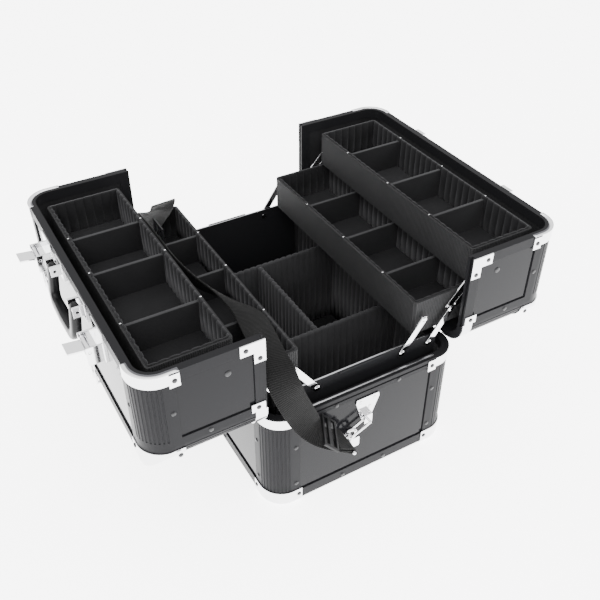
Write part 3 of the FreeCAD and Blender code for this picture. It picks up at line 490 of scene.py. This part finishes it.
def corner_trim(lid, sx, sy):
    """A thin polished strip that wraps the top of the rim round an outer corner."""
    far = millimetres("lid_right_profiles")[1]
    outer, inner, low, high = 1.2, -4.2, far[2] - 0.05, far[2] + 0.4
    cx, cy = far[0] - TRIM_RADIUS, far[1] - TRIM_RADIUS
    line = [(cx - 14 + 3.5 * k, far[1], 0.0, 1.0) for k in range(4)]
    for k in range(TRIM_TURNS + 1):
        a = math.radians(90 - 90 * k / TRIM_TURNS)
        nx, ny = math.cos(a), math.sin(a)
        line.append((cx + TRIM_RADIUS * nx, cy + TRIM_RADIUS * ny, nx, ny))
    line += [(far[0], cy - 1.2 * (k + 1), 1.0, 0.0) for k in range(4)]
    section = [(outer, low), (outer, high - 0.15), (outer - 0.3, high), (inner, high), (inner, low)]
    verts = [(sx * (x + nx * offset), sy * (y + ny * offset), z)
             for x, y, nx, ny in line for offset, z in section]
    name = "%s_corner_trim_%s" % (lid, "near" if sy < 0 else "far")
    faces = rings_to_faces(len(line), len(section))
    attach(mesh_piece(name, verts, faces, FINISH["chrome"]), lid)


for lid, sx in (("lid_right", 1), ("lid_left", -1)):
    for sy in (-1, 1):
        corner_trim(lid, sx, sy)


# ------------------------------------------------------------------ strap
# Each section of the webbing is its middle and a vector from there to one edge.
HALF = 16.0
HANGING = [
    ((-45.1, -203, 98.4), (0, -HALF, 0)), ((-53, -203, 104), (-1, -HALF, -1)),
    ((-64, -202, 113), (-5, 1 - HALF, -1)), ((-75, -199, 124), (-11, 4 - HALF, -1)),
    ((-83, -196, 137), (1 - HALF, -6, -2)),
]
ACROSS = [
    ((-90, -193, 152), (1 - HALF, -3, -4)), ((-97, -190, 170), (1 - HALF, -2, -4)),
    ((-103, -184, 190), (-HALF, 2, -3)), ((-104, -171, 205), (-HALF, 4, -1)),
    ((-103, -153, 209), (-HALF, 4, 0)), ((-98, -127, 208), (-HALF, 4, 0)),
    ((-93, -100, 206), (-HALF, 3, 1)), ((-92, -76, 206), (1 - HALF, 2, 5)),
    ((-102, -53, 211), (-12, 3, 10)), ((-121, -28, 221), (-7, 2, 14)),
    ((-133, -2, 229), (-3, 0, HALF)), ((-137, 30, 232), (-0.5, 0, HALF)),
    ((-137, 60, 232.5), (-1, 0, HALF)), ((-132, 90, 231), (-6, 4, 14)),
    ((-118, 115, 223), (-13, 6, 7)), ((-100, 138, 213), (-HALF, 1, 3)),
    ((-87, 157, 208.5), (-HALF, -2, 0)), ((-83, 172, 202), (-HALF, -1, 0)),
    ((-84, 184, 184), (-HALF, -1, -1)), ((-88, 190, 165), (-HALF, 0, -3)),
    ((-88, 193, 150), (-HALF, 1, -4)),
]
HANGING_FAR = [((m[0], -m[1], m[2]), (w[0], -w[1], w[2])) for m, w in reversed(HANGING)]


def smooth_sections(sections, per_span):
    """Catmull-Rom through sections of a middle point and a half-width vector."""
    rows = [np.array(m + w, dtype=float) for m, w in sections]
    rows = [2 * rows[0] - rows[1]] + rows + [2 * rows[-1] - rows[-2]]
    out = []
    for a, b, c, d in zip(rows, rows[1:], rows[2:], rows[3:]):
        for k in range(per_span):
            t = k / per_span
            out.append(0.5 * (2 * b + (c - a) * t + (2 * a - 5 * b + 4 * c - d) * t ** 2
                              + (3 * b - a - 3 * c + d) * t ** 3))
    out.append(rows[-2])
    return out


def ribbon(name, sections, thickness, per_span):
    """Webbing with rounded selvedges; returns the piece and its centre line in metres."""
    rows = smooth_sections(sections, per_span)
    middles = [row[:3] for row in rows]
    t = thickness / 2
    face = [(-0.985, t * 0.75), (-0.95, t), (0.0, t), (0.95, t), (0.985, t * 0.75)]
    profile = [(-1.0, 0.0)] + face + [(1.0, 0.0)] + [(a, -b) for a, b in reversed(face)]
    verts, uvs = [], []
    run = 0.0
    for k, row in enumerate(rows):
        middle = row[:3]
        half = row[3:] / np.linalg.norm(row[3:]) * HALF
        along = middles[min(k + 1, len(rows) - 1)] - middles[max(k - 1, 0)]
        normal = np.cross(along, half)
        normal /= np.linalg.norm(normal)
        if k:
            run += float(np.linalg.norm(middle - middles[k - 1]))
        for a, b in profile:
            verts.append(tuple(middle + half * a + normal * b))
            uvs.append((run * MM, a * HALF * MM))
    faces = rings_to_faces(len(rows), len(profile))
    obj = mesh_piece(name, verts, faces, FINISH["webbing"])
    layer = obj.data.uv_layers.new(name="weave")
    for loop in obj.data.loops:
        layer.data[loop.index].uv = uvs[loop.vertex_index]
    return obj, [tuple(float(c) * MM for c in m) for m in middles]


def fold_sections(sign):
    """The webbing's end, turned back round the bar of the strap's loop."""
    centre = np.array((-43.0, sign * 203.0, 97.0))
    away, up = np.array((-0.816, 0.0, 0.577)), np.array((0.577, 0.0, 0.816))
    ply = ((22, 1.9), (12, 2.2), (4, 2.8))
    out = [centre + away * along + up * rise for along, rise in ply]
    for degrees in (90, 135, 180, 225, 270):
        a = math.radians(degrees)
        out.append(centre + (away * math.cos(a) + up * math.sin(a)) * 2.85)
    out += [centre + away * along - up * rise for along, rise in reversed(ply)]
    return [(tuple(point), (0.0, -15.9, 0.0)) for point in out]


strap, strap_path = ribbon("strap_webbing", HANGING + ACROSS + HANGING_FAR, 1.8, per_span=10)
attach(strap, "strap")
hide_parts("strap")
for label, sign in (("near", -1), ("far", 1)):
    fold, _ = ribbon("strap_fold_" + label, fold_sections(sign), 1.5, per_span=4)
    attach(fold, "strap")


# ------------------------------------------------------------------ handle
GRIP_PIVOT, GRIP_HALF, GRIP_BEND = (-254.4, 0.0, 248.0), 38.0, 13.0
GRIP_END = 5.6
GRIP_HANG = np.array((-4.8, 0.0, -37.5))
GRIP_DROP = float(np.linalg.norm(GRIP_HANG))
GRIP_SIDES = 20


def grip_path():
    """The middle of the bar as distances across and down from the point between the pivots."""
    leg = GRIP_DROP - GRIP_BEND
    path = [(-GRIP_HALF, -GRIP_END + k * (leg + GRIP_END) / 8) for k in range(9)]
    for k in range(1, 9):
        a = math.radians(180 - 90 * k / 8)
        path.append((-GRIP_HALF + GRIP_BEND + GRIP_BEND * math.cos(a), leg + GRIP_BEND * math.sin(a)))
    path += [(-GRIP_HALF + GRIP_BEND + k * (GRIP_HALF - GRIP_BEND) / 5, GRIP_DROP) for k in range(1, 5)]
    return path + [(0.0, GRIP_DROP)] + [(-y, d) for y, d in reversed(path)]


def squared_ring(wide, thick):
    """Points round a section between an ellipse and a rectangle."""
    for i in range(GRIP_SIDES):
        a = 2 * math.pi * i / GRIP_SIDES
        c, s = (math.copysign(abs(value) ** 0.62, value) for value in (math.cos(a), math.sin(a)))
        yield wide * c, thick * s


def handle_grip():
    """A U-shaped grip: one swept bar that narrows into rounded ends round the pivots."""
    side, down = np.array((0.0, 1.0, 0.0)), GRIP_HANG / GRIP_DROP
    face = np.cross(side, down)
    path = grip_path()
    verts = []
    for k, (y, d) in enumerate(path):
        y0, d0 = path[max(k - 1, 0)]
        y1, d1 = path[min(k + 1, len(path) - 1)]
        run = math.hypot(y1 - y0, d1 - d0)
        across = (down * (y1 - y0) - side * (d1 - d0)) / run
        scale = (0.45, 0.86, 1.0)[min(k, len(path) - 1 - k, 2)]
        swell = max(0.0, 1 - abs(y) / GRIP_HALF) if d > GRIP_DROP - 2 else 0.0
        centre = np.array(GRIP_PIVOT) + side * y + down * d
        for a, b in squared_ring(6.3 * scale, (5.3 + 0.9 * swell) * scale):
            verts.append(tuple(centre + across * a + face * b))
    faces = rings_to_faces(len(path), GRIP_SIDES)
    return mesh_piece("handle_moulding", verts, faces, FINISH["plastic"])


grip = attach(handle_grip(), "handle")
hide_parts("handle_grip")


# ------------------------------------------------------------------ studio
def area(name, location, target, size, power):
    """A square soft light."""
    light = bpy.data.lights.new(name, "AREA")
    light.size = size
    light.energy = power
    obj = bpy.data.objects.new(name, light)
    bpy.context.collection.objects.link(obj)
    obj.location = location
    obj.rotation_euler = (Vector(target) - Vector(location)).to_track_quat("-Z", "Y").to_euler()


def surroundings():
    """Bright overhead and darker near the horizon, so that upright glossy faces stay black."""
    world = bpy.data.worlds.new("studio")
    bpy.context.scene.world = world
    world.use_nodes = True
    nodes, links = world.node_tree.nodes, world.node_tree.links
    back = nodes["Background"]
    back.inputs["Strength"].default_value = 2.3
    _, _, height = axes(nodes, links, nodes.new("ShaderNodeTexCoord").outputs["Generated"])
    sky = nodes.new("ShaderNodeValToRGB")
    dark, bright = sky.color_ramp.elements
    dark.position, bright.position = 0.12, 0.42
    dark.color, bright.color = (0.16, 0.16, 0.17, 1), (1, 1, 1, 1)
    links.new(height, sky.inputs[0])
    links.new(sky.outputs[0], back.inputs["Color"])


def pale_floor(half=30.0):
    """A wide white sheet just under the case, with a glow of its own that keeps it even."""
    mesh = bpy.data.meshes.new("floor")
    corners = [(-half, -half, 0), (half, -half, 0), (half, half, 0), (-half, half, 0)]
    mesh.from_pydata(corners, [], [(0, 1, 2, 3)])
    floor = bpy.data.objects.new("floor", mesh)
    bpy.context.collection.objects.link(floor)
    mat, _, _, shader = new_material("floor_white", (0.95, 0.95, 0.95), 0.7, spec=0.2)
    shader.inputs["Emission Color"].default_value = (1, 1, 1, 1)
    shader.inputs["Emission Strength"].default_value = 5.0
    floor.data.materials.append(mat)
    floor.location.z = -0.0002


def lamps():
    area("key", (-0.9, -1.5, 1.8), (0, 0, 0.1), 1.2, 22)
    area("fill", (1.6, -0.8, 1.3), (0, 0, 0.15), 1.4, 12)
    area("top", (0.0, 0.4, 2.2), (0, 0, 0.1), 1.8, 16)


def camera():
    cam = bpy.data.cameras.new("camera")
    obj = bpy.data.objects.new("camera", cam)
    bpy.context.collection.objects.link(obj)
    cam.sensor_width = 36.0
    cam.lens = 46.88
    cam.clip_start = 0.02
    cam.clip_end = 30
    azimuth, fall = math.radians(29.94), math.radians(38.54)
    level = math.cos(fall)
    look = Vector((math.sin(azimuth) * level, math.cos(azimuth) * level, -math.sin(fall)))
    obj.location = (-0.3584, -0.6558, 0.7251)
    obj.rotation_euler = look.to_track_quat("-Z", "Y").to_euler()
    bpy.context.scene.camera = obj


surroundings()
pale_floor()
lamps()
camera()
